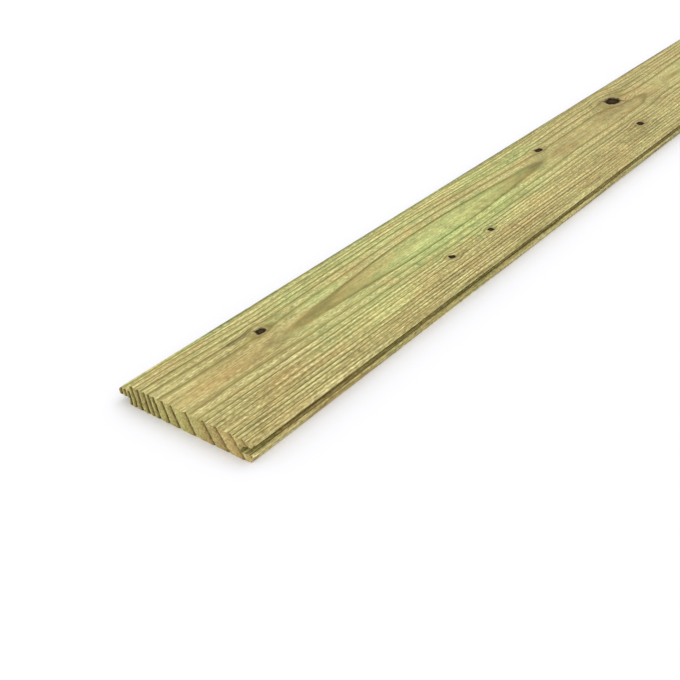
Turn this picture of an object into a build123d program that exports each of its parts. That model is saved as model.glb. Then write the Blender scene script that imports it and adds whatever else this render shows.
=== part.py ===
"""Tongue and groove cladding board, planed from one piece of treated softwood.

The board lies on its back face. X runs along it, Y across it towards the tongue
and Z up out of its front face. The origin is under the middle of the board,
halfway between the groove edge and the tip of the tongue. Sizes are in millimetres.
"""
import os

from build123d import *

# The plank, as it is planed before its edges are worked
board_length = 1800.0
cover_width = 133.0
board_thickness = 19.0
arris_radius = 0.8

# The tongue, which the cutter leaves standing out of the +Y edge
tongue_length = 12.0
tongue_thickness = 6.6
tongue_height = 6.8
tip_radius = 1.8
shoulder_radius = 0.4

# The groove, which takes the tongue of the next board with room to swell
groove_side_clearance = 0.2
groove_end_clearance = 0.8
groove_corner_radius = 0.5
lip_radius = 0.8

# The back lip is cut short, so that the front faces of two boards close first
back_lip_setback = 0.5

overall_width = cover_width + tongue_length
groove_edge = -overall_width / 2
shoulder = groove_edge + cover_width
tongue_tip = shoulder + tongue_length

groove_height = tongue_height - groove_side_clearance
groove_width = tongue_thickness + 2 * groove_side_clearance
groove_depth = tongue_length + groove_end_clearance
back_lip_edge = groove_edge + back_lip_setback

# Drawing corners, anticlockwise from the back face's corner on the groove side
back_groove_corner = (back_lip_edge, 0)
back_shoulder_corner = (shoulder, 0)
tongue_root_below = (shoulder, tongue_height)
tip_below = (tongue_tip, tongue_height)
tip_above = (tongue_tip, tongue_height + tongue_thickness)
tongue_root_above = (shoulder, tongue_height + tongue_thickness)
front_shoulder_corner = (shoulder, board_thickness)
front_groove_corner = (groove_edge, board_thickness)
front_lip = (groove_edge, groove_height + groove_width)
groove_bottom_above = (groove_edge + groove_depth, groove_height + groove_width)
groove_bottom_below = (groove_edge + groove_depth, groove_height)
back_lip = (back_lip_edge, groove_height)


def corners_at(section, *places):
    """The section's corners that lie at these places."""
    return [section.vertices().sort_by_distance(place)[0] for place in places]


with BuildPart() as board:
    with BuildSketch(Plane.YZ.offset(-board_length / 2)) as section:
        with BuildLine():
            Polyline(
                back_groove_corner,
                back_shoulder_corner,
                tongue_root_below,
                tip_below,
                tip_above,
                tongue_root_above,
                front_shoulder_corner,
                front_groove_corner,
                front_lip,
                groove_bottom_above,
                groove_bottom_below,
                back_lip,
                close=True,
            )
        make_face()
        # Four long arrises that the planer eases
        fillet(
            corners_at(
                section,
                back_groove_corner,
                back_shoulder_corner,
                front_shoulder_corner,
                front_groove_corner,
            ),
            arris_radius,
        )
        # Tongue: rounded at its tip, with the cutter's small radius at its root
        fillet(corners_at(section, tip_below, tip_above), tip_radius)
        fillet(corners_at(section, tongue_root_below, tongue_root_above), shoulder_radius)
        # Groove: eased at its two lips, with the cutter's radius in its bottom
        fillet(corners_at(section, front_lip, back_lip), lip_radius)
        fillet(
            corners_at(section, groove_bottom_above, groove_bottom_below),
            groove_corner_radius,
        )
    # The planer runs the whole section along the plank, and a saw squares its ends
    extrude(amount=board_length)

board.part.label = "board"

os.makedirs("parts", exist_ok=True)
export_step(board.part, "parts/board.step")

print(f"overall {board_length:.1f} x {overall_width:.1f} x {board_thickness:.1f} mm")
print(f"volume {board.part.volume / 1000:.1f} cm3, section {section.sketch.area:.1f} mm2")
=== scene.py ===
import math

import bmesh
import bpy
from mathutils import Matrix, Vector, noise


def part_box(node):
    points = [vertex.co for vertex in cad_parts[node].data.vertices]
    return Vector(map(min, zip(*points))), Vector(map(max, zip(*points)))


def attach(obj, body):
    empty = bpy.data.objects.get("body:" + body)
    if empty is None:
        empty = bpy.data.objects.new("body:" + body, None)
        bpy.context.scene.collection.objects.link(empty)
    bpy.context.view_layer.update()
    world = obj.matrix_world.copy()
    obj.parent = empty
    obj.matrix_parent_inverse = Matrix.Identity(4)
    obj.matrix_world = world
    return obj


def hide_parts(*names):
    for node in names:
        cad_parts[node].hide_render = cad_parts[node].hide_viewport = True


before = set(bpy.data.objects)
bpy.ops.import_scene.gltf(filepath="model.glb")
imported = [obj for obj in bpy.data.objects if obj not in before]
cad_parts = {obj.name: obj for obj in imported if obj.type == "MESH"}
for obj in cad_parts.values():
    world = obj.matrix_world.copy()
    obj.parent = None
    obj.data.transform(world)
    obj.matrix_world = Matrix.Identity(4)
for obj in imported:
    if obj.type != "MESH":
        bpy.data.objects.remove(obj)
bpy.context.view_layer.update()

# The board is one length of softwood. A planer cuts its two faces, the tongue along
# one edge and the groove along the other in one pass, and a saw squares its ends.
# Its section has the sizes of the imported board, in metres.
mm = 0.001
near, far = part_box("board")
tongue_length = 12 * mm
tongue_foot = 6.8 * mm
tongue_head = 13.4 * mm
groove_foot = 6.6 * mm
groove_head = 13.6 * mm
groove_depth = 12.8 * mm
back_lip_setback = 0.5 * mm
arris = 0.8 * mm
tip_round = 1.8 * mm
root_round = 0.4 * mm
groove_round = 0.5 * mm

shoulder = far.y - tongue_length
back_lip = near.y + back_lip_setback
groove_bottom = near.y + groove_depth

board = bmesh.new()
corners = {
    "back_groove": (back_lip, near.z),
    "back_shoulder": (shoulder, near.z),
    "root_below": (shoulder, tongue_foot),
    "tip_below": (far.y, tongue_foot),
    "tip_above": (far.y, tongue_head),
    "root_above": (shoulder, tongue_head),
    "front_shoulder": (shoulder, far.z),
    "front_groove": (near.y, far.z),
    "front_lip": (near.y, groove_head),
    "groove_above": (groove_bottom, groove_head),
    "groove_below": (groove_bottom, groove_foot),
    "back_lip": (back_lip, groove_foot),
}
section = {name: board.verts.new((near.x, y, z)) for name, (y, z) in corners.items()}
board.faces.new(section.values())

# Radii of the cutters at each corner. All but the inner ones wear with handling.
rounding = {
    arris: (
        "back_groove", "back_shoulder", "front_shoulder", "front_groove", "front_lip", "back_lip",
    ),
    tip_round: ("tip_below", "tip_above"),
    root_round: ("root_below", "root_above"),
    groove_round: ("groove_above", "groove_below"),
}
wearing = [(*corners[name], radius) for radius in (arris, tip_round) for name in rounding[radius]]
for radius, names in rounding.items():
    bmesh.ops.bevel(
        board, geom=[section[name] for name in names], affect="VERTICES",
        offset=radius, segments=4, profile=0.5, material=-1,
    )

run = bmesh.ops.extrude_face_region(board, geom=list(board.faces))
bmesh.ops.translate(
    board, verts=[v for v in run["geom"] if isinstance(v, bmesh.types.BMVert)],
    vec=(far.x - near.x, 0, 0),
)
bmesh.ops.recalc_face_normals(board, faces=board.faces)

# Two places closer than the first of these count as one, and a cut that passes closer
# than the second to a corner goes through it
touching = 0.01 * mm
cut_snap = 0.05 * mm


def sawn(face):
    """Whether a face is on one of the two sawn ends."""
    return abs(face.normal.x) > 0.5


def with_edges(faces):
    """These faces with their edges and corners, each of them once."""
    return list(dict.fromkeys(part for face in faces for part in (face, *face.edges, *face.verts)))


def cut_along(elements, place, direction):
    """Cuts these elements of the board along a plane, and returns them with the new ones."""
    cut = bmesh.ops.bisect_plane(
        board, geom=elements, dist=cut_snap, plane_co=place, plane_no=direction
    )
    return cut["geom"]


def cut_through(place, direction):
    """Cuts the whole board along a plane."""
    cut_along(board.verts[:] + board.edges[:] + board.faces[:], place, direction)


# Loops along the board: some evenly across it, and one beside each long edge, so that
# its wear stays narrow
wear_margin = 1.0 * mm
loop_pitch = 12 * mm
loop_count = round((far.y - near.y) / loop_pitch)
loops = [("y", near.y + step * loop_pitch) for step in range(1, loop_count)]
loops += [
    ("y", near.y + arris + wear_margin),
    ("y", shoulder - arris - wear_margin),
    ("y", far.y - tip_round - wear_margin),
    ("z", near.z + arris + wear_margin),
    ("z", far.z - arris - wear_margin),
]
for axis, place in loops:
    direction = Vector((0, axis == "y", axis == "z"))
    cut_through(direction * place, direction)

# A map of the faces for baking: each half of the board is unrolled beside the other,
# from a seam along the groove's lower corner, and the two ends lie past them
half_length = (far.x - near.x) / 2
sides = [face for face in board.faces if not sawn(face)]
rim = {edge for face in sides for edge in face.edges if all(v.co.x < 0 for v in edge.verts)}
seam = Vector((near.x, groove_bottom, groove_foot))
here = min((v for edge in rim for v in edge.verts), key=lambda v: (v.co - seam).length)
around = {}
girth = 0.0
while rim:
    edge = max((e for e in here.link_edges if e in rim), key=lambda e: e.other_vert(here).co.z)
    rim.remove(edge)
    around[edge] = (here, girth, girth + edge.calc_length())
    girth += edge.calc_length()
    here = edge.other_vert(here)

unrolled = board.loops.layers.uv.new("OFBake")
for edge, (first, before, after) in around.items():
    side = next(face for face in edge.link_faces if not sawn(face))
    for loop in side.loops:
        at_first = (loop.vert.co.yz - first.co.yz).length < touching
        loop[unrolled].uv = (before if at_first else after, loop.vert.co.x)
for face in board.faces:
    if sawn(face):
        for loop in face.loops:
            loop[unrolled].uv = loop.vert.co.zy

# Rows across the board, for its worn edges, and one close to each end
end_row = 2.4 * mm
row_pitch = 3 * mm
along = Vector((1, 0, 0))
for place in (near.x + end_row, far.x - end_row):
    cut_through(along * place, along)
lengthwise = [e for e in board.edges if abs(e.verts[0].co.x - e.verts[1].co.x) > half_length]
bmesh.ops.subdivide_edges(
    board, edges=lengthwise, cuts=round(2 * half_length / row_pitch) - 1, use_grid_fill=True
)

# The late wood of each ring shows on the sawn ends as a leaning line. The lines fan out,
# from 9 degrees of lean beside the tongue to 38 beside the groove. Their places in
# millimetres are taken at the middle of the thickness, from the groove to the tongue.
end_rings = (
    -95, -71, -57.8, -42.4, -27.7, -7.8, 8.6, 18.6, 29.3, 35.1, 40.9, 48.3, 55.1, 60.5, 65.2,
    70, 95,
)
ring_lean = 0.498
ring_fan = 0.0051 / mm
late_width = 2.0
late_share = 0.25
middle_height = (near.z + far.z) / 2

# How far in millimetres the lines bend from side to side, over what length, and a number
# that tells the long bends from the short ones
ring_bends = ((0.9, 11 * mm, 0), (0.5, 4 * mm, 9))


def ring_on_end(y, z):
    """The rings up to this place on an end. Late wood is a quarter each side of a whole number."""
    up = z - middle_height
    across = (y - ring_lean * up) / (1 - ring_fan * up) / mm
    for bend, bend_length, bend_number in ring_bends:
        across += bend * noise.noise(Vector((y, z, bend_number)) / bend_length)
    ring = next(number for number, place in enumerate(end_rings) if place > across)
    before, after = end_rings[ring - 1], end_rings[ring]
    if across < before + late_width:
        return ring + (across - before) / late_width * late_share
    if across > after - late_width:
        return ring + 1 - (after - across) / late_width * late_share
    early = (across - before - late_width) / (after - before - 2 * late_width)
    return ring + late_share + early * (1 - 2 * late_share)


# Cuts in the ends along those lines, and a few across them
line_pitch = 0.8
first_line = -82
last_line = 74
levels = 10
on_ends = with_edges(face for face in board.faces if sawn(face))
for step in range(round(first_line / line_pitch), round(last_line / line_pitch)):
    place = step * line_pitch * mm
    lean = ring_lean - ring_fan * place
    on_ends = cut_along(on_ends, Vector((0, place, middle_height)), Vector((0, 1, -lean)))
for step in range(1, levels):
    height = near.z + (far.z - near.z) * step / levels
    on_ends = cut_along(on_ends, Vector((0, 0, height)), Vector((0, 0, 1)))

# Knots, where branches ran from the pith to the bark. Each is given by its place along
# and across the front face, its length and its width in millimetres, and by how many
# degrees it leans.
knots = (
    (-768, 29, 12, 8.5, 2),
    (-544, -33.6, 8, 7, -26),
    (-467, -33.8, 7.4, 7, 0),
    (-244, 29, 14, 8.2, 2),
    (-31, 30.5, 29, 19, 6),
    (-86, -33.8, 13.5, 8.5, 18),
    (188, -20, 10, 8, -20),
    (330, 36, 14, 10, 12),
    (458, -38, 8, 7, 30),
    (640, 24, 18, 12, -14),
    (772, -30, 9, 8, 25),
)
knot_pitch = 1 * mm
knot_margin = 2
for knot_x, knot_y, knot_length, knot_width, knot_lean in knots:
    place = Vector((knot_x, knot_y, 0)) * mm + Vector((0, 0, far.z))
    reach = Vector((knot_length / 2 + knot_margin, knot_width / 2 + knot_margin, 0)) * mm
    patch = [
        face for face in board.faces
        if face.normal.z > 0.9 and abs(face.calc_center_median().z - far.z) < touching
        and abs(face.calc_center_median().x - place.x) < reach.x + row_pitch / 2
        and abs(face.calc_center_median().y - place.y) < reach.y + loop_pitch / 2
    ]
    in_patch = with_edges(patch)
    for axis in (0, 1):
        direction = Vector((axis == 0, axis == 1, 0))
        steps = int(reach[axis] / knot_pitch)
        for step in range(-steps, steps + 1):
            in_patch = cut_along(in_patch, place + direction * (step * knot_pitch), direction)

# Wear and tool marks, all of them cut into the planed shape: uneven and nicked long
# edges, lips knocked blunt at the ends, early wood torn beside the late wood of the
# sawn ends, and knots that have shrunk into the front face. Depths are in millimetres.
# The noise of each edge lies apart from that of the last.
rub_depth = 0.10
rub_change = 0.12
rub_length = 30 * mm
rub_apart = 7.3
nick_depth = 0.9
nick_least = 0.35
nick_length = 7 * mm
nick_apart = 3.1
blunt_groove_side = 1.4
blunt_tongue_side = 0.3
blunt_reach = 8 * mm
knock_front_lip = 2.4
knock_back_lip = 1.5
knock_width = 8 * mm
knock_reach = 12 * mm
torn_depth = 1.0
torn_slope = 1.5
ring_step = 0.25
saw_depth = 0.15
saw_tooth = 3 * mm
knot_rim = 1.05
knot_slope = 0.3
knot_ragged = 0.12
knot_ragged_size = 4 * mm
knot_depth = 0.5
knot_rough = 0.25
knot_rough_size = 2 * mm

ring_layer = board.verts.layers.float.new("end_ring")
board.normal_update()
moves = {}
for vert in board.verts:
    x, y, z = vert.co
    from_end = min(x - near.x, far.x - x)
    push = Vector((0, 0, 0))
    inward = Vector((0, -vert.normal.y, -vert.normal.z))
    on_side = any(not sawn(face) for face in vert.link_faces)
    for number, (corner_y, corner_z, radius) in enumerate(wearing):
        if on_side and math.hypot(y - corner_y, z - corner_z) < radius + 2 * touching:
            rubbed = noise.noise(Vector((x / rub_length, number * rub_apart, 0)))
            rubbed = rub_depth + rub_change * rubbed
            nick = noise.noise(Vector((x / nick_length, number * nick_apart, 5)))
            nick = max(0, nick - nick_least) * nick_depth
            blunt = blunt_groove_side if y < 0 else blunt_tongue_side
            blunt = max(0, 1 - from_end / blunt_reach) ** 2 * blunt
            push += inward.normalized() * (rubbed + nick + blunt) * mm
    knocked = knock_front_lip if z > groove_foot else knock_back_lip
    knocked = max(0, 1 - (y - near.y) / knock_width) ** 2 * knocked
    back = knocked * max(0, 1 - from_end / knock_reach)
    if from_end < touching:
        ring = ring_on_end(y, z)
        vert[ring_layer] = ring
        from_line = min(abs(ring - round(ring)) / late_share, 1)
        back += torn_depth * (1 - from_line) ** torn_slope + ring_step * (ring % 1)
        back += saw_depth + saw_depth * noise.noise(Vector((y, z, 3)) / saw_tooth)
    push.x += back * mm * (1 if x < 0 else -1)
    if z > far.z - touching:
        for knot_x, knot_y, knot_length, knot_width, knot_lean in knots:
            offset = Vector((x / mm - knot_x, y / mm - knot_y))
            offset.rotate(Matrix.Rotation(-math.radians(knot_lean), 2))
            offset = Vector((offset.x * 2 / knot_length, offset.y * 2 / knot_width))
            uneven = knot_ragged * noise.noise(Vector((x, y, 1)) / knot_ragged_size)
            shrunk = min(max((knot_rim + uneven - offset.length) / knot_slope, 0), 1)
            rough = knot_rough * noise.noise(Vector((x, y, 2)) / knot_rough_size)
            push.z -= shrunk * (knot_depth + rough) * mm
    if push.length > 0:
        moves[vert] = push
for vert, push in moves.items():
    vert.co += push
board.normal_update()

# The map's parts are laid out side by side, and the two ends one above the other, at
# these many widths of the board
map_gap = 8 * mm
near_end_up = 0.5
far_end_up = 1.6
map_width = 2 * girth + (far.z - near.z) + 3 * map_gap
map_height = half_length + map_gap
for face in board.faces:
    middle = face.calc_center_median()
    at_end = sawn(face)
    for loop in face.loops:
        u, v = loop[unrolled].uv
        if at_end:
            u += 2 * (girth + map_gap)
            v += (far.y - near.y) * (near_end_up if middle.x < 0 else far_end_up)
        elif middle.x < 0:
            v += half_length
        else:
            u += girth + map_gap
        loop[unrolled].uv = ((u + map_gap / 2) / map_width, (v + map_gap / 2) / map_height)

# The planed faces are flat and the rest is smooth. The ends keep a sharp rim.
flat = 0.9999
for face in board.faces:
    face.material_index = int(sawn(face))
    face.smooth = max(abs(part) for part in face.normal) < flat
for edge in board.edges:
    if len({face.material_index for face in edge.link_faces}) == 2:
        edge.smooth = False
planed_board_mesh = bpy.data.meshes.new("planed_board")
board.to_mesh(planed_board_mesh)
board.free()
planed_board = bpy.data.objects.new("planed_board", planed_board_mesh)
bpy.context.scene.collection.objects.link(planed_board)


def linear(colour):
    """An sRGB hex colour as the linear colour that a shader takes."""
    parts = [int(colour[i:i + 2], 16) / 255 for i in (1, 3, 5)]
    return (*[c / 12.92 if c < 0.04045 else ((c + 0.055) / 1.055) ** 2.4 for c in parts], 1)


def add(tree, kind, inputs=(), **settings):
    """Adds a node with its settings, and sets or links its inputs, in order or by name."""
    node = tree.nodes.new(kind)
    for name, value in settings.items():
        setattr(node, name, value)
    sockets = [socket for socket in node.inputs if socket.enabled]
    for key, value in inputs.items() if isinstance(inputs, dict) else enumerate(inputs):
        socket = node.inputs[key] if isinstance(key, str) else sockets[key]
        if isinstance(value, bpy.types.Node):
            value = next(output for output in value.outputs if output.enabled)
        if isinstance(value, bpy.types.NodeSocket):
            tree.links.new(value, socket)
        else:
            socket.default_value = value
    return node


def draw_through(curve_node, points, across, up):
    """Draws a Float Curve through points, given in the units of the two ranges."""
    curve = curve_node.mapping.curves[0]
    while len(curve.points) < len(points):
        curve.points.new(0.5, 0.5)
    for spot, (x, y) in zip(curve.points, points):
        spot.location = ((x - across[0]) / (across[1] - across[0]), (y - up[0]) / (up[1] - up[0]))
        spot.handle_type = "AUTO_CLAMPED"
    curve_node.mapping.update()


# Planed, pressure-treated pine: pale early wood and darker late wood in growth rings
# round a pith under the back face, so the planed faces cut them into long lines and
# pointed arches. The treatment leaves it olive, greener in some places.
pine = bpy.data.materials.new("planed_treated_pine")
pine.use_nodes = True
wood = pine.node_tree
wood.nodes.clear()

spot = add(wood, "ShaderNodeTexCoord").outputs["Object"]
spot = add(wood, "ShaderNodeVectorMath", (spot, 1 / mm), operation="SCALE")
x, y, z = add(wood, "ShaderNodeSeparateXYZ", (spot,)).outputs
board_run = (-900, 900)
along_board = add(
    wood, "ShaderNodeMapRange", {"Value": x, "From Min": board_run[0], "From Max": board_run[1]}
)

# Where the pith runs, in millimetres: how far below the front face, how far towards the
# tongue, and how much wider the rings grew on the tongue's side of it. Each is given at
# places along the board, after the most that it can be.
thickness = 19.0
pith_course = {
    "depth": (50, (
        (-900, 34.0), (-822, 34.6), (-743, 33.1), (-626, 31.1), (-508, 29.2), (-411, 30.6),
        (-313, 32.4), (-264, 33.4), (-176, 34.4), (-97, 33.9), (-60, 34.8), (-15, 36.0),
        (1, 37.2), (18, 38.0), (40, 38.8), (300, 36.0), (600, 31.0), (900, 34.0),
    )),
    "side": (20, (
        (-900, 9.0), (-850, 8.5), (-783, 8.1), (-704, 9.3), (-508, 11), (-215, 8.8), (-97, 9.2),
        (40, 6.6), (500, 10), (900, 7),
    )),
    "spread": (0.3, (
        (-900, 0.18), (-840, 0.18), (-740, 0.08), (-500, 0.03), (-300, 0.0), (-100, 0.16),
        (60, 0.12), (500, 0.05), (900, 0.1),
    )),
}
pith = {}
for name, (most, points) in pith_course.items():
    curve = add(wood, "ShaderNodeFloatCurve", {"Value": along_board})
    draw_through(curve, points, board_run, (0, most))
    pith[name] = add(wood, "ShaderNodeMath", (curve, most), operation="MULTIPLY")

# Each knot is a cone whose tip is in the pith. The grain flows round it.
branch_depth = 34.0
branch_side = 9.0
above_pith = add(wood, "ShaderNodeMath", (z, branch_depth - thickness), operation="ADD")
spreading = add(wood, "ShaderNodeMath", (branch_depth, above_pith), operation="DIVIDE")
off_side = add(wood, "ShaderNodeMath", (y, branch_side), operation="SUBTRACT")
face_y = add(wood, "ShaderNodeMath", (off_side, spreading, branch_side), operation="MULTIPLY_ADD")
on_face = add(wood, "ShaderNodeCombineXYZ", (x, face_y, 0))
branch_scale = add(wood, "ShaderNodeCombineXYZ", (spreading, 1, 0))
ragged_size = 4
ragged = add(wood, "ShaderNodeTexNoise", {"Vector": spot, "Scale": 1 / ragged_size, "Detail": 3})
ragged = add(wood, "ShaderNodeMapRange", {"Value": ragged, "To Min": -0.5, "To Max": 0.5})

# How near each place is to a knot, to its brown tail along the grain and to its dark
# wings, which lean alike on all knots. Their sizes are in lengths and widths of the
# knot, and each part ends where its number is 1.
far_from_knots = 9.0
nearest = {"knot": far_from_knots, "tail": far_from_knots, "wings": far_from_knots}
tail_size = (4, 1.7)
wing_size = (1.7, 0.6)
wing_lean = -48
flow_size = 4
most_flow = 0.72
grain_y = y
for knot_x, knot_y, knot_length, knot_width, knot_lean in knots:
    middle = (knot_x, knot_y, 0)
    offset = add(wood, "ShaderNodeVectorMath", (on_face, middle), operation="SUBTRACT")
    offset = add(wood, "ShaderNodeVectorMath", (offset, branch_scale), operation="MULTIPLY")
    for part, lean, (longer, wider) in (
        ("knot", knot_lean, (1, 1)),
        ("tail", knot_lean, tail_size),
        ("wings", wing_lean, wing_size),
    ):
        away = add(
            wood, "ShaderNodeVectorRotate", {"Vector": offset, "Angle": -math.radians(lean)},
            rotation_type="Z_AXIS",
        )
        radii = (2 / (longer * knot_length), 2 / (wider * knot_width), 0)
        away = add(wood, "ShaderNodeVectorMath", (away, radii), operation="MULTIPLY")
        away = add(wood, "ShaderNodeVectorMath", (away,), operation="LENGTH").outputs["Value"]
        nearest[part] = add(wood, "ShaderNodeMath", (away, nearest[part]), operation="MINIMUM")
    radii = (2 / (flow_size * knot_length), 2 / (flow_size * knot_width), 0)
    flow = add(wood, "ShaderNodeVectorMath", (offset, radii), operation="MULTIPLY")
    flow = add(wood, "ShaderNodeVectorMath", (flow,), operation="LENGTH").outputs["Value"]
    flow = add(
        wood, "ShaderNodeMapRange", {"Value": flow, "To Min": most_flow, "To Max": 0},
        interpolation_type="SMOOTHSTEP",
    )
    offset_y = add(wood, "ShaderNodeSeparateXYZ", (offset,)).outputs["Y"]
    swerve = add(wood, "ShaderNodeMath", (offset_y, flow), operation="MULTIPLY")
    grain_y = add(wood, "ShaderNodeMath", (grain_y, swerve), operation="SUBTRACT")

# Distance from the pith, with the slight waver of a grown stem
grain = add(wood, "ShaderNodeCombineXYZ", (x, grain_y, z))
off_pith = add(wood, "ShaderNodeMath", (grain_y, pith["side"]), operation="SUBTRACT")
wide_side = add(wood, "ShaderNodeMapRange", {"Value": off_pith, "From Min": 12, "From Max": 45})
wider = add(wood, "ShaderNodeMath", (wide_side, pith["spread"], 1), operation="MULTIPLY_ADD")
off_pith = add(wood, "ShaderNodeMath", (off_pith, wider), operation="DIVIDE")
over_pith = add(wood, "ShaderNodeMath", (z, pith["depth"]), operation="ADD")
over_pith = add(wood, "ShaderNodeMath", (over_pith, thickness), operation="SUBTRACT")
radius = add(wood, "ShaderNodeCombineXYZ", (0, off_pith, over_pith))
radius = add(wood, "ShaderNodeVectorMath", (radius,), operation="LENGTH").outputs["Value"]

# Patterns along the grain, each with its length and width in millimetres and its detail.
# Real fibres are 0.05 mm wide: these are drawn coarser, so that they show.
patterns = {
    "waver": (90, 25, 2),
    "fibres": (5, 1.2, 2),
    "streaks": (120, 1.7, 2),
    "clouds": (15, 6, 3),
    "tints": (60, 16, 2),
    "flecks": (4, 1.7, 2),
}
figure = {}
for name, (length, width, detail) in patterns.items():
    size = (1 / length, 1 / width, 1 / width)
    scaled = add(wood, "ShaderNodeVectorMath", (grain, size), operation="MULTIPLY")
    pattern = add(wood, "ShaderNodeTexNoise", {"Vector": scaled, "Scale": 1, "Detail": detail})
    figure[name] = add(
        wood, "ShaderNodeMapRange",
        {"Value": pattern, "From Min": 0.3, "From Max": 0.7, "To Min": -1, "To Max": 1},
    )
waver_depth = 0.35
waver = add(wood, "ShaderNodeMath", (figure["waver"], waver_depth), operation="MULTIPLY")
radius = add(wood, "ShaderNodeMath", (radius, waver), operation="ADD")

# The late wood of each year: its distance from the pith in millimetres, and how dark it is
years = (
    (9, 0.3), (14.5, 0.3), (20, 0.3), (24.5, 0.3), (28, 0.3), (33.0, 0.65), (37.95, 0.52),
    (43.35, 0.65), (47.8, 0.75), (51.3, 0.7), (54.6, 0.55), (58.3, 0.7), (62.6, 0.42), (67.0, 0.8),
    (71.3, 1.0), (74.9, 0.95), (78.5, 0.6), (82.1, 0.95), (84.9, 0.8), (88.5, 0.7), (91.9, 0.7),
)
faint = 0.3
widest = 100
oldest = len(years) + 1
share = add(wood, "ShaderNodeMath", (radius, widest), operation="DIVIDE")
age_curve = add(wood, "ShaderNodeFloatCurve", {"Value": share})
ages = [(end, year + 1) for year, (end, dark) in enumerate(years)]
draw_through(age_curve, [(0, 0), *ages, (widest, oldest)], (0, widest), (0, oldest))
dark_curve = add(wood, "ShaderNodeFloatCurve", {"Value": age_curve})
darks = [(year + 1, dark) for year, (end, dark) in enumerate(years)]
draw_through(dark_curve, [(0, faint), *darks, (oldest, faint)], (0, oldest), (0, 1))
from_pith = add(wood, "ShaderNodeMath", (off_pith,), operation="ABSOLUTE")
from_pith = add(
    wood, "ShaderNodeMapRange", {"Value": from_pith, "From Min": 2, "From Max": 16},
    interpolation_type="SMOOTHSTEP",
)
steep = add(wood, "ShaderNodeMapRange", {"Value": from_pith, "To Min": 0.75, "To Max": 1})
darkness = add(wood, "ShaderNodeMath", (dark_curve, steep), operation="MULTIPLY")

# The grain shows more boldly in some lengths of the board than in others
boldness = (
    (-900, 0.85), (-700, 0.9), (-600, 1.05), (-450, 1.15), (-280, 0.85), (0, 0.85), (400, 1.1),
    (900, 0.9),
)
boldest = 1.25
bold = add(wood, "ShaderNodeFloatCurve", {"Value": along_board})
draw_through(bold, boldness, board_run, (0, boldest))
bold = add(wood, "ShaderNodeMath", (bold, boldest), operation="MULTIPLY")
darkness = add(wood, "ShaderNodeMath", (darkness, bold), operation="MULTIPLY")

# Through a year, from one spring's wood to the next with the late wood in the middle:
# the place in the year, how much late wood there is, and how much pale spring wood
season = add(wood, "ShaderNodeMath", (age_curve, oldest, 0.5), operation="MULTIPLY_ADD")
season = add(wood, "ShaderNodeMath", (season,), operation="FRACT")
year_ramp = add(wood, "ShaderNodeValToRGB", (season,))
year_ramp.color_ramp.interpolation = "EASE"
seasons = (
    (0.0, 0.0, 0.9), (0.22, 0.05, 0.6), (0.37, 0.32, 0.1), (0.45, 1.0, 0.0), (0.54, 1.0, 0.0),
    (0.59, 0.3, 0.2), (0.64, 0.0, 0.9), (1.0, 0.0, 0.9),
)
for place, late, spring in seasons[1:-1]:
    year_ramp.color_ramp.elements.new(place)
for stop, (place, late, spring) in zip(year_ramp.color_ramp.elements, seasons):
    stop.color = (late, spring, 0, 1)
parts = add(wood, "ShaderNodeSeparateColor", (year_ramp.outputs["Color"],)).outputs
late = parts["Red"]
spring = parts["Green"]
broken = add(wood, "ShaderNodeMath", (figure["fibres"], 0.45, 1.0), operation="MULTIPLY_ADD")
late = add(wood, "ShaderNodeMath", (late, darkness), operation="MULTIPLY")
late = add(wood, "ShaderNodeMath", (late, broken), operation="MULTIPLY", use_clamp=True)

# The back lip is rubbed pale, so its late wood hardly shows
lip_front = add(wood, "ShaderNodeMapRange", {"Value": y, "From Min": -70.5, "From Max": -71.7})
lip_rub = add(
    wood, "ShaderNodeMapRange",
    {"Value": z, "From Min": 6.0, "From Max": 8.0, "To Min": 0.6, "To Max": 0},
)
lip_rub = add(wood, "ShaderNodeMath", (lip_rub, lip_front), operation="MULTIPLY")
rubbed_late = add(wood, "ShaderNodeMath", (late, lip_rub), operation="MULTIPLY")
late = add(wood, "ShaderNodeMath", (late, rubbed_late), operation="SUBTRACT")

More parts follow.
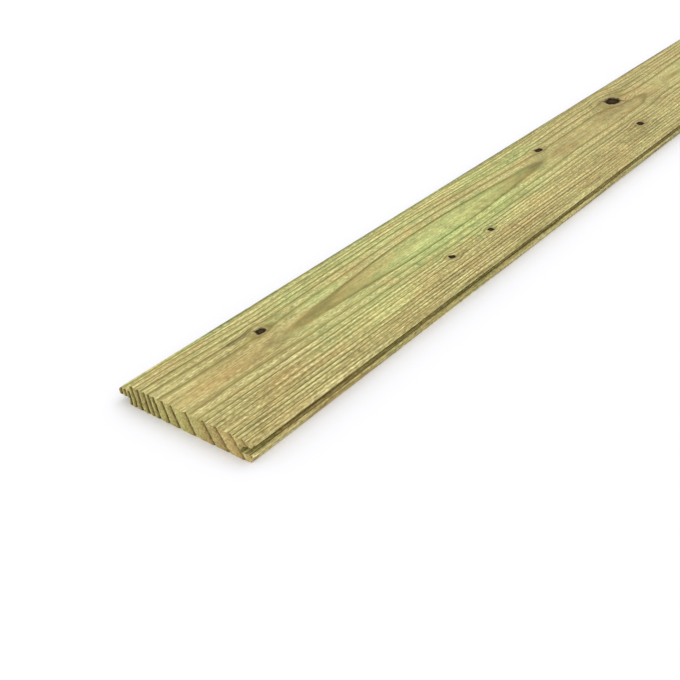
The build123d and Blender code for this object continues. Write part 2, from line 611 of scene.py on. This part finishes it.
# Stains of the treatment, and grey and pale patches, on the front face: the place, length
# and width of each in millimetres, and its strength. They soak through the board.
stains = {
    "green": (
        (-469, -2, 410, 72, 1.0), (-606, 47, 490, 30, 0.5), (-520, 68, 900, 24, 0.7),
        (-745, 31, 60, 18, 0.5), (-325, 46, 240, 36, 0.7), (-680, -22, 170, 90, 0.5),
        (-690, 27, 120, 18, 0.6), (304, 5, 370, 68, 0.9), (670, -39, 290, 39, 0.6),
    ),
    "brown": (
        (-817, 12, 130, 40, 0.8), (-224, 2, 80, 30, 0.5), (-694, 12, 90, 16, 0.25),
        (0, 10, 200, 60, 0.5), (-370, 5, 150, 20, 0.5), (-313, -58, 490, 20, 0.3),
        (-820, -45, 90, 50, 0.4), (530, -20, 260, 60, 0.7), (830, 20, 200, 60, 0.7),
    ),
    "grey": (
        (-70, 15, 130, 50, 1.0), (-200, 9, 160, 34, 0.6), (-745, 31, 50, 18, 0.7),
        (-110, -42, 130, 50, 1.0), (0, 43, 190, 16, 1.1), (-270, 15, 90, 40, 0.5),
        (-290, 41, 70, 16, 0.7), (20, -6, 150, 26, 0.7), (-789, 35, 44, 8, 2.0),
        (-750, 32, 40, 14, 1.2), (-290, 5, 54, 18, 1.1), (-770, 7, 50, 20, 0.9),
        (8, 5, 40, 12, 0.9), (-590, -55, 60, 18, 0.8), (-222, -45, 70, 34, 0.7),
        (-375, -18, 90, 14, 0.6), (10, -17, 50, 16, 0.8), (250, 20, 160, 40, 0.7),
        (560, 35, 200, 40, 0.6),
    ),
    "pale": (
        (-640, -38, 180, 34, 0.75), (-380, -37, 160, 26, 0.9), (-440, 54, 280, 16, 0.9),
        (-868, 67, 120, 22, 1.3), (-862, 10, 100, 32, 0.6), (-650, 30, 60, 12, 0.8),
        (-530, 30, 60, 12, 0.8), (420, -30, 180, 30, 0.8),
    ),
}
soak_depth = 100
stain_waver = 0.22
stain_edge = add(wood, "ShaderNodeMath", (figure["clouds"], stain_waver), operation="MULTIPLY")
stain_of = {}
for name, places in stains.items():
    total = 0.0
    for stain_x, stain_y, stain_length, stain_width, strength in places:
        middle = (stain_x, stain_y, thickness)
        radii = (2 / stain_length, 2 / stain_width, 1 / soak_depth)
        stain = add(wood, "ShaderNodeVectorMath", (spot, middle), operation="SUBTRACT")
        stain = add(wood, "ShaderNodeVectorMath", (stain, radii), operation="MULTIPLY")
        stain = add(wood, "ShaderNodeVectorMath", (stain,), operation="LENGTH").outputs["Value"]
        stain = add(wood, "ShaderNodeMath", (stain, stain_edge), operation="ADD")
        stain = add(
            wood, "ShaderNodeMapRange",
            {"Value": stain, "From Min": 0.3, "From Max": 1.2, "To Min": strength, "To Max": 0},
            interpolation_type="SMOOTHSTEP",
        )
        total = add(wood, "ShaderNodeMath", (stain, total), operation="MAXIMUM")
    stain_of[name] = total

# The wood between the lines is tan, green or brown, with creamy spring wood in it
tan = linear("#b9ac70")
green = linear("#b9c27a")
brown = linear("#b69e65")
cooler = linear("#f7fff7")
warmer = linear("#fff3eb")
cream = linear("#e1d8a0")
green_cream = linear("#e0e5a4")
late_brown = linear("#655423")
late_green = linear("#6c6c31")
early = add(wood, "ShaderNodeMix", (stain_of["green"], tan, green), data_type="RGBA")
early = add(wood, "ShaderNodeMix", (stain_of["brown"], early, brown), data_type="RGBA")
tinted = add(wood, "ShaderNodeMapRange", {"Value": figure["tints"], "From Min": -1, "From Max": 1})
tinted = add(wood, "ShaderNodeMix", (tinted, cooler, warmer), data_type="RGBA")
early = add(wood, "ShaderNodeMix", (1, early, tinted), data_type="RGBA", blend_type="MULTIPLY")
paler = add(wood, "ShaderNodeMath", (figure["fibres"], figure["streaks"]), operation="ADD")
paler = add(wood, "ShaderNodeMath", (paler, 0.4, 0.25), operation="MULTIPLY_ADD", use_clamp=True)
paler = add(wood, "ShaderNodeMath", (paler, spring), operation="MULTIPLY")
calm = add(wood, "ShaderNodeMapRange", {"Value": from_pith, "To Min": 0.5, "To Max": 1})
paler = add(wood, "ShaderNodeMath", (paler, calm), operation="MULTIPLY")
clean = add(wood, "ShaderNodeMath", (1, stain_of["grey"]), operation="SUBTRACT", use_clamp=True)
clean = add(wood, "ShaderNodeMapRange", {"Value": clean, "To Min": 0.5, "To Max": 1})
paler = add(wood, "ShaderNodeMath", (paler, clean), operation="MULTIPLY")
pale_wood = add(wood, "ShaderNodeMix", (stain_of["green"], cream, green_cream), data_type="RGBA")
early = add(wood, "ShaderNodeMix", (paler, early, pale_wood), data_type="RGBA")
dark = add(wood, "ShaderNodeMix", (stain_of["green"], late_brown, late_green), data_type="RGBA")
colour = add(wood, "ShaderNodeMix", (late, early, dark), data_type="RGBA")

# The fibres show less over the pith, and the streaks more towards both long edges
fibre_depth = add(wood, "ShaderNodeMapRange", {"Value": from_pith, "To Min": 0.11, "To Max": 0.2})
middle_of_grain = 15
edgewise = add(wood, "ShaderNodeMath", (y, middle_of_grain), operation="SUBTRACT")
edgewise = add(wood, "ShaderNodeMath", (edgewise,), operation="ABSOLUTE")
edgewise = add(wood, "ShaderNodeMapRange", {"Value": edgewise, "From Min": 36, "From Max": 48})
streak_depth = add(wood, "ShaderNodeMapRange", {"Value": edgewise, "To Min": 0.14, "To Max": 0.27})
fleck_depth = add(wood, "ShaderNodeMapRange", {"Value": edgewise, "To Min": 0.06, "To Max": 0.26})
fleck_depth = add(wood, "ShaderNodeMath", (fleck_depth, bold), operation="MULTIPLY")
cloud_depth = add(
    wood, "ShaderNodeMapRange", {"Value": stain_of["green"], "To Min": 0.13, "To Max": 0.22}
)
shade = add(wood, "ShaderNodeMath", (stain_of["grey"], -0.17, 1.0), operation="MULTIPLY_ADD")
shade = add(wood, "ShaderNodeMath", (stain_of["pale"], 0.15, shade), operation="MULTIPLY_ADD")
for name, depth in (
    ("fibres", fibre_depth),
    ("flecks", fleck_depth),
    ("streaks", streak_depth),
    ("clouds", cloud_depth),
):
    shade = add(wood, "ShaderNodeMath", (figure[name], depth, shade), operation="MULTIPLY_ADD")
# The back lip is darker towards the far end
lip_far_darkening = add(
    wood, "ShaderNodeMapRange",
    {"Value": x, "From Min": -650, "From Max": -100, "To Min": 0, "To Max": -0.4},
)
shade = add(wood, "ShaderNodeMath", (lip_rub, lip_far_darkening, shade), operation="MULTIPLY_ADD")
colour = add(wood, "ShaderNodeVectorMath", (colour, shade), operation="SCALE")

# Round a knot the wood is brown along the grain and pale close by, with a short dark
# wing at both of its ends. The knot itself is nearly black, with rings of its own.
tail_brown = linear("#91803f")
halo_cream = linear("#b5a983")
wing_brown = linear("#5c5027")
heart_brown = linear("#483b2a")
knot_black = linear("#2c2211")
knot_edge = add(wood, "ShaderNodeMath", (ragged, 0.8, nearest["knot"]), operation="MULTIPLY_ADD")
tail = add(wood, "ShaderNodeMath", (ragged, 1.2, nearest["tail"]), operation="MULTIPLY_ADD")
tail = add(
    wood, "ShaderNodeMapRange",
    {"Value": tail, "From Min": 0.3, "From Max": 1.0, "To Min": 0.7, "To Max": 0},
    interpolation_type="SMOOTHSTEP",
)
colour = add(wood, "ShaderNodeMix", (tail, colour, tail_brown), data_type="RGBA")
halo = add(
    wood, "ShaderNodeMapRange",
    {"Value": knot_edge, "From Min": 1.1, "From Max": 1.7, "To Min": 0.45, "To Max": 0},
    interpolation_type="SMOOTHSTEP",
)
colour = add(wood, "ShaderNodeMix", (halo, colour, halo_cream), data_type="RGBA")
wing = add(wood, "ShaderNodeMath", (ragged, 0.5, nearest["wings"]), operation="MULTIPLY_ADD")
wing = add(
    wood, "ShaderNodeMapRange",
    {"Value": wing, "From Min": 0.3, "From Max": 1.0, "To Min": 0.85, "To Max": 0},
    interpolation_type="SMOOTHSTEP",
)
colour = add(wood, "ShaderNodeMix", (wing, colour, wing_brown), data_type="RGBA")
ring_rate = 22
knot_rings = add(wood, "ShaderNodeMath", (knot_edge, ring_rate), operation="MULTIPLY")
knot_rings = add(wood, "ShaderNodeMath", (knot_rings,), operation="SINE")
outward = add(wood, "ShaderNodeMapRange", {"Value": knot_edge, "From Min": 0.1, "From Max": 0.75})
outward = add(
    wood, "ShaderNodeMath", (knot_rings, 0.25, outward), operation="MULTIPLY_ADD", use_clamp=True
)
heart = add(wood, "ShaderNodeMix", (outward, heart_brown, knot_black), data_type="RGBA")
knotty = add(
    wood, "ShaderNodeMapRange",
    {"Value": knot_edge, "From Min": 0.8, "From Max": 1.25, "To Min": 1, "To Max": 0},
    interpolation_type="SMOOTHSTEP",
)
colour = add(wood, "ShaderNodeMix", (knotty, colour, heart), data_type="RGBA")

# Painted shade: the tip of the tongue is darkened, less so by the near end
tip_shade_factor = add(
    wood, "ShaderNodeMapRange",
    {"Value": x, "From Min": -850, "From Max": -700, "To Min": 0.8, "To Max": 0.6},
)
tip_painted_shade = add(
    wood, "ShaderNodeMapRange",
    {"Value": y, "From Min": 65, "From Max": 71, "To Min": 1, "To Max": tip_shade_factor},
    interpolation_type="SMOOTHSTEP",
)
colour = add(wood, "ShaderNodeVectorMath", (colour, tip_painted_shade), operation="SCALE")

# Planing leaves the late wood and the fibres standing a little proud, and the wood matt
height = add(wood, "ShaderNodeMath", (figure["fibres"], 0.35, late), operation="MULTIPLY_ADD")
bump = add(wood, "ShaderNodeBump", {"Height": height, "Distance": 0.12 * mm, "Strength": 0.8})
roughness = add(
    wood, "ShaderNodeMapRange",
    {"Value": shade, "From Min": 0.8, "From Max": 1.2, "To Min": 0.62, "To Max": 0.82},
)
sheen = add(wood, "ShaderNodeMapRange", {"Value": knotty, "To Min": 0.12, "To Max": 0})
surface = add(
    wood, "ShaderNodeBsdfPrincipled",
    {"Base Color": colour, "Roughness": roughness, "Specular IOR Level": sheen, "Normal": bump},
)
add(wood, "ShaderNodeOutputMaterial", (surface,))
planed_board_mesh.materials.append(pine)

# The sawn ends: the same years cut across. The saw left them rough, and they soaked up
# more of the treatment, so they are darker, greenish in the middle of the board and
# brown towards the groove.
end_grain = bpy.data.materials.new("sawn_end_grain")
end_grain.use_nodes = True
ends = end_grain.node_tree
ends.nodes.clear()
spot = add(ends, "ShaderNodeTexCoord").outputs["Object"]
spot = add(ends, "ShaderNodeVectorMath", (spot, 1 / mm), operation="SCALE")
y = add(ends, "ShaderNodeSeparateXYZ", (spot,)).outputs["Y"]
ring = add(ends, "ShaderNodeAttribute", attribute_name="end_ring").outputs["Fac"]
season = add(ends, "ShaderNodeMath", (ring, 0.5), operation="ADD")
season = add(ends, "ShaderNodeMath", (season,), operation="FRACT")
ring_number = add(ends, "ShaderNodeMath", (ring,), operation="FLOOR")
ring_tone = add(ends, "ShaderNodeTexWhiteNoise", {"W": ring_number}, noise_dimensions="1D")
ring_tone = ring_tone.outputs["Value"]

# Across a ring: dark late wood, a brown band on its tongue side and a pale one on the other
end_ramp = add(ends, "ShaderNodeValToRGB", (season,))
end_ramp.color_ramp.interpolation = "EASE"
bands = (
    (0.0, 0.0, 0.0, 0.1), (0.2, 0.0, 0.0, 0.6), (0.31, 0.05, 0.0, 1.0), (0.41, 0.6, 0.0, 0.1),
    (0.47, 1.0, 0.0, 0.0), (0.54, 1.0, 0.0, 0.0), (0.63, 0.6, 0.7, 0.0), (0.73, 0.05, 0.8, 0.0),
    (0.9, 0.0, 0.2, 0.0), (1.0, 0.0, 0.0, 0.1),
)
for place, late, band, pale in bands[1:-1]:
    end_ramp.color_ramp.elements.new(place)
for stop, (place, late, band, pale) in zip(end_ramp.color_ramp.elements, bands):
    stop.color = (late, band, pale, 1)
late, band, pale = add(ends, "ShaderNodeSeparateColor", (end_ramp.outputs["Color"],)).outputs

# Cut pores, drawn 2 mm wide so that they show, uneven patches and the saw's arcs round
# the place of its arbor
pore_size = 2
patch_size = 5
saw_pitch = 1.6
saw_arbor = (0, 40, 160)
pores = add(ends, "ShaderNodeTexNoise", {"Vector": spot, "Scale": 1 / pore_size, "Detail": 3})
pores = add(
    ends, "ShaderNodeMapRange",
    {"Value": pores, "From Min": 0.3, "From Max": 0.7, "To Min": -1, "To Max": 1},
)
uneven = add(ends, "ShaderNodeTexNoise", {"Vector": spot, "Scale": 1 / patch_size, "Detail": 2})
uneven = add(ends, "ShaderNodeMapRange", {"Value": uneven, "From Min": 0.3, "From Max": 0.7})
saw_arc = add(ends, "ShaderNodeVectorMath", (spot, saw_arbor), operation="SUBTRACT")
saw_arc = add(ends, "ShaderNodeVectorMath", (saw_arc, (0, 1, 1)), operation="MULTIPLY")
saw_arc = add(ends, "ShaderNodeVectorMath", (saw_arc,), operation="LENGTH").outputs["Value"]
saw_arc = add(ends, "ShaderNodeMath", (saw_arc, 2 * math.pi / saw_pitch), operation="MULTIPLY")
saw_arc = add(ends, "ShaderNodeMath", (saw_arc,), operation="SINE")

end_green = linear("#b8af6c")
end_brown = linear("#c6ad70")
band_brown = linear("#a08245")
band_cream = linear("#d8cf8e")
end_dark = linear("#514317")
browner = add(
    ends, "ShaderNodeMapRange",
    {"Value": y, "From Min": -5, "From Max": -45, "To Min": 0, "To Max": 0.9},
)
early = add(ends, "ShaderNodeMix", (browner, end_green, end_brown), data_type="RGBA")
mixed = add(ends, "ShaderNodeMath", (band, 0.6), operation="MULTIPLY")
early = add(ends, "ShaderNodeMix", (mixed, early, band_brown), data_type="RGBA")
mixed = add(ends, "ShaderNodeMath", (pale, uneven), operation="MULTIPLY")
early = add(ends, "ShaderNodeMix", (mixed, early, band_cream), data_type="RGBA")
patchy = add(ends, "ShaderNodeMath", (uneven, 0.4, 0.65), operation="MULTIPLY_ADD")
patchy = add(
    ends, "ShaderNodeMath", (browner, -0.3, patchy), operation="MULTIPLY_ADD", use_clamp=True
)
late = add(ends, "ShaderNodeMath", (late, patchy), operation="MULTIPLY")
colour = add(ends, "ShaderNodeMix", (late, early, end_dark), data_type="RGBA")
shade = add(ends, "ShaderNodeMath", (pores, 0.34, 0.8), operation="MULTIPLY_ADD")
shade = add(ends, "ShaderNodeMath", (uneven, 0.16, shade), operation="MULTIPLY_ADD")
shade = add(ends, "ShaderNodeMath", (ring_tone, 0.2, shade), operation="MULTIPLY_ADD")
colour = add(ends, "ShaderNodeVectorMath", (colour, shade), operation="SCALE")
height = add(ends, "ShaderNodeMath", (saw_arc, 0.35, pores), operation="MULTIPLY_ADD")
bump = add(ends, "ShaderNodeBump", {"Height": height, "Distance": 0.2 * mm, "Strength": 0.8})
surface = add(
    ends, "ShaderNodeBsdfPrincipled",
    {"Base Color": colour, "Roughness": 0.85, "Specular IOR Level": 0.2, "Normal": bump},
)
add(ends, "ShaderNodeOutputMaterial", (surface,))
planed_board_mesh.materials.append(end_grain)

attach(planed_board, "root")
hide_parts("board")

# The floor is pale and matt. It looks white to the camera and keeps the soft shadow
# of the board.
floor_size = 6.0
floor_sheet = bmesh.new()
bmesh.ops.create_grid(floor_sheet, x_segments=1, y_segments=1, size=floor_size)
floor_mesh = bpy.data.meshes.new("floor")
floor_sheet.to_mesh(floor_mesh)
floor_sheet.free()
floor = bpy.data.objects.new("floor", floor_mesh)
bpy.context.scene.collection.objects.link(floor)

pale = bpy.data.materials.new("pale_floor")
pale.use_nodes = True
sheet = pale.node_tree
sheet.nodes.clear()


def seen_directly(tree):
    """Adds nodes that give 1 to the camera's rays, and to those that gloss or glass sends on."""
    rays = add(tree, "ShaderNodeLightPath").outputs
    seen = rays["Is Camera Ray"]
    for other in ("Is Glossy Ray", "Is Transmission Ray"):
        seen = add(tree, "ShaderNodeMath", (seen, rays[other]), operation="ADD", use_clamp=True)
    return seen


floor_lift = 0.03
lift = add(sheet, "ShaderNodeMath", (seen_directly(sheet), floor_lift), operation="MULTIPLY")
glow = add(sheet, "ShaderNodeEmission", {"Strength": lift})
matt = add(sheet, "ShaderNodeBsdfDiffuse", {"Color": linear("#fafafe")})
both = add(sheet, "ShaderNodeAddShader", (matt, glow))
add(sheet, "ShaderNodeOutputMaterial", (both,))
floor_mesh.materials.append(pale)

# Light: a white room all round, and one broad, soft lamp high over the far end
room = bpy.data.worlds.new("room")
bpy.context.scene.world = room
room.use_nodes = True
air = room.node_tree
air.nodes.clear()
room_light = 0.87
strength = add(
    air, "ShaderNodeMapRange", {"Value": seen_directly(air), "To Min": room_light, "To Max": 1.0}
)
sky = add(air, "ShaderNodeBackground", {"Color": linear("#ffffff"), "Strength": strength})
add(air, "ShaderNodeOutputWorld", (sky,))

lamp_data = bpy.data.lights.new("window", "SUN")
lamp_data.energy = 0.6
lamp_data.angle = math.radians(50)
lamp = bpy.data.objects.new("window", lamp_data)
bpy.context.scene.collection.objects.link(lamp)
lamp.rotation_euler = Vector((0.4, 0.0, 0.8)).to_track_quat("Z", "Y").to_euler()

# The camera looks down on the near end from the groove side
camera_data = bpy.data.cameras.new("camera")
camera_data.lens = 58.7
camera_data.sensor_width = 36
camera_data.clip_start = 0.01
camera = bpy.data.objects.new("camera", camera_data)
bpy.context.scene.collection.objects.link(camera)
camera.location = (-1.4037, -0.5314, 0.5366)
camera_down = 31.97
camera_turn = 36.58
camera.rotation_euler = (math.radians(90 - camera_down), 0, math.radians(camera_turn - 90))
bpy.context.scene.camera = camera
bpy.context.scene.view_settings.view_transform = "Standard"
